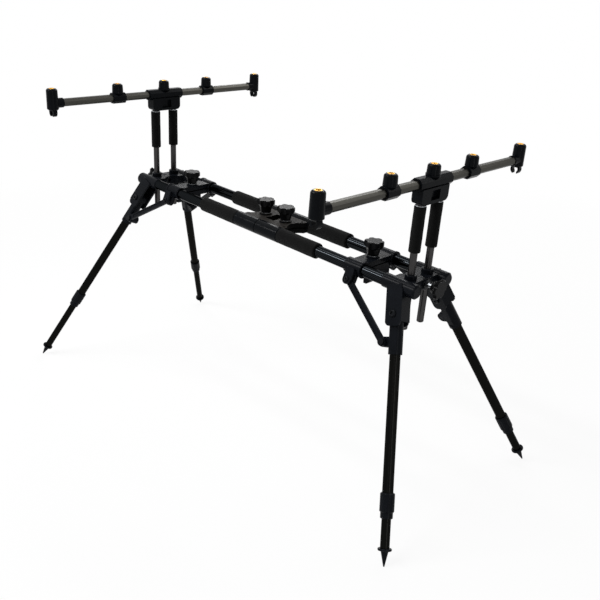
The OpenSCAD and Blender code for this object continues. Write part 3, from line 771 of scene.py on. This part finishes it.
class ROD_POD_OT_stage(bpy.types.Operator):
    """Pale floor, soft studio light and the camera"""

    bl_idname = "rod_pod.stage"
    bl_label = "Stage"

    def execute(self, context):
        scene = context.scene
        scene.view_settings.view_transform = "Standard"
        self.floor()
        self.world(scene)
        self.lamps(scene)
        self.camera(scene)
        return {"FINISHED"}

    def seen(self, tree):
        """1 for rays from the camera and for those that a surface mirrors or lets through."""
        path = add(tree, "ShaderNodeLightPath").outputs
        share = path["Is Camera Ray"]
        for ray in ("Is Glossy Ray", "Is Transmission Ray"):
            share = add(tree, "ShaderNodeMath", {"operation": "MAXIMUM"}, {0: share, 1: path[ray]}).outputs[0]
        return share

    def floor(self):
        """A wide pale floor that keeps a faint shadow and goes over into the white background."""
        mesh = bmesh.new()
        bmesh.ops.create_grid(mesh, x_segments=1, y_segments=1, size=FLOOR_HALF)
        data = bpy.data.meshes.new("floor")
        mesh.to_mesh(data)
        mesh.free()
        material = bpy.data.materials.new("studio_floor")
        material.use_nodes = True
        tree = material.node_tree
        tree.nodes.clear()
        paint = add(tree, "ShaderNodeBsdfDiffuse", None, {"Color": (*settings().colours.floor, 1)})
        white = add(tree, "ShaderNodeEmission", None, {"Color": (1, 1, 1, 1), "Strength": 1.0})
        place = add(tree, "ShaderNodeTexCoord").outputs["Object"]
        off = add(tree, "ShaderNodeVectorMath", {"operation": "LENGTH"}, {0: place})
        fade = {
            "Value": off.outputs["Value"], "From Min": FLOOR_FADE[0], "From Max": FLOOR_FADE[1],
            "To Min": FLOOR_WHITE[0], "To Max": FLOOR_WHITE[1],
        }
        white_share = add(tree, "ShaderNodeMapRange", None, fade)
        share = add(
            tree, "ShaderNodeMath", {"operation": "MULTIPLY"}, {0: self.seen(tree), 1: white_share.outputs[0]}
        )
        both = {0: share.outputs[0], 1: paint.outputs[0], 2: white.outputs[0]}
        mix = add(tree, "ShaderNodeMixShader", None, both)
        add(tree, "ShaderNodeOutputMaterial", None, {"Surface": mix.outputs[0]})
        data.materials.append(material)
        floor = bpy.data.objects.new("floor", data)
        bpy.context.scene.collection.objects.link(floor)

    def world(self, scene):
        """White behind the object, and a plain level of light from all round."""
        world = bpy.data.worlds.new("studio")
        world.use_nodes = True
        tree = world.node_tree
        tree.nodes.clear()
        levels = {"Value": self.seen(tree), "To Min": FILL, "To Max": 1.0}
        level = add(tree, "ShaderNodeMapRange", None, levels)
        sky = add(tree, "ShaderNodeBackground", None, {"Color": (1, 1, 1, 1), "Strength": level.outputs[0]})
        add(tree, "ShaderNodeOutputWorld", None, {"Surface": sky.outputs[0]})
        scene.world = world

    def lamps(self, scene):
        """Strip lamps, lying and standing, for lines of light on the tubes, and a softbox for the bars."""
        centre = POD.to_translation()
        for name, (at, side, size, power) in LAMPS.items():
            lamp = bpy.data.lights.new(name, "AREA")
            lamp.shape = "RECTANGLE"
            lamp.size, lamp.size_y = size
            lamp.energy = power
            holder = bpy.data.objects.new(name, lamp)
            scene.collection.objects.link(holder)
            behind = Vector(at).normalized()
            along = Vector(side)
            along = (along - behind * along.dot(behind)).normalized()
            turn = Matrix((along, behind.cross(along), behind)).transposed().to_4x4()
            holder.matrix_world = Matrix.Translation(centre + Vector(at)) @ turn

    def camera(self, scene):
        """The photograph's view, worked out in the level pod's own frame."""
        data = bpy.data.cameras.new("camera")
        data.sensor_width = CAMERA_SENSOR
        data.lens = CAMERA_LENS
        azimuth, elevation, roll = (math.radians(degrees) for degrees in CAMERA_TURN)
        flat = math.cos(elevation)
        back = Vector((math.sin(azimuth) * flat, -math.cos(azimuth) * flat, math.sin(elevation)))
        right = Vector((math.cos(azimuth), math.sin(azimuth), 0))
        up = back.cross(right)
        right, up = (
            math.cos(roll) * right + math.sin(roll) * up,
            math.cos(roll) * up - math.sin(roll) * right,
        )
        place = Matrix((right, up, back)).transposed().to_4x4()
        place.translation = Vector(CAMERA_PLACE)
        camera = bpy.data.objects.new("camera", data)
        scene.collection.objects.link(camera)
        camera.matrix_world = POD @ place
        scene.camera = camera


class ROD_POD_PT_panel(bpy.types.Panel):
    """Steps and settings of the rod pod"""

    bl_idname = "ROD_POD_PT_panel"
    bl_label = "Rod Pod"
    bl_space_type = "VIEW_3D"
    bl_region_type = "UI"
    bl_category = "Rod Pod"

    def draw(self, context):
        for step in STEPS:
            self.layout.operator(step.bl_idname)
        for group in (context.scene.rod_pod.colours, context.scene.rod_pod.sizes):
            box = self.layout.box()
            for name in group.__annotations__:
                box.prop(group, name)


STEPS = (
    ROD_POD_OT_stage,
    ROD_POD_OT_foam,
    ROD_POD_OT_hub,
    ROD_POD_OT_ends,
    ROD_POD_OT_legs,
    ROD_POD_OT_tubes,
    ROD_POD_OT_bosses,
    ROD_POD_OT_knobs,
)
CLASSES = (PodColours, PodSizes, PodSettings, *STEPS, ROD_POD_PT_panel)


def register():
    for item in CLASSES:
        bpy.utils.register_class(item)
    bpy.types.Scene.rod_pod = bpy.props.PointerProperty(
        name="Rod pod", description="Rod pod settings", type=PodSettings
    )


def unregister():
    del bpy.types.Scene.rod_pod
    for item in reversed(CLASSES):
        bpy.utils.unregister_class(item)


def main():
    register()
    bpy.ops.rod_pod.stage()
    bpy.ops.rod_pod.foam()
    bpy.ops.rod_pod.hub()
    bpy.ops.rod_pod.ends()
    bpy.ops.rod_pod.legs()
    bpy.ops.rod_pod.tubes()
    bpy.ops.rod_pod.bosses()
    bpy.ops.rod_pod.knobs()


if __name__ == "__main__":
    main()
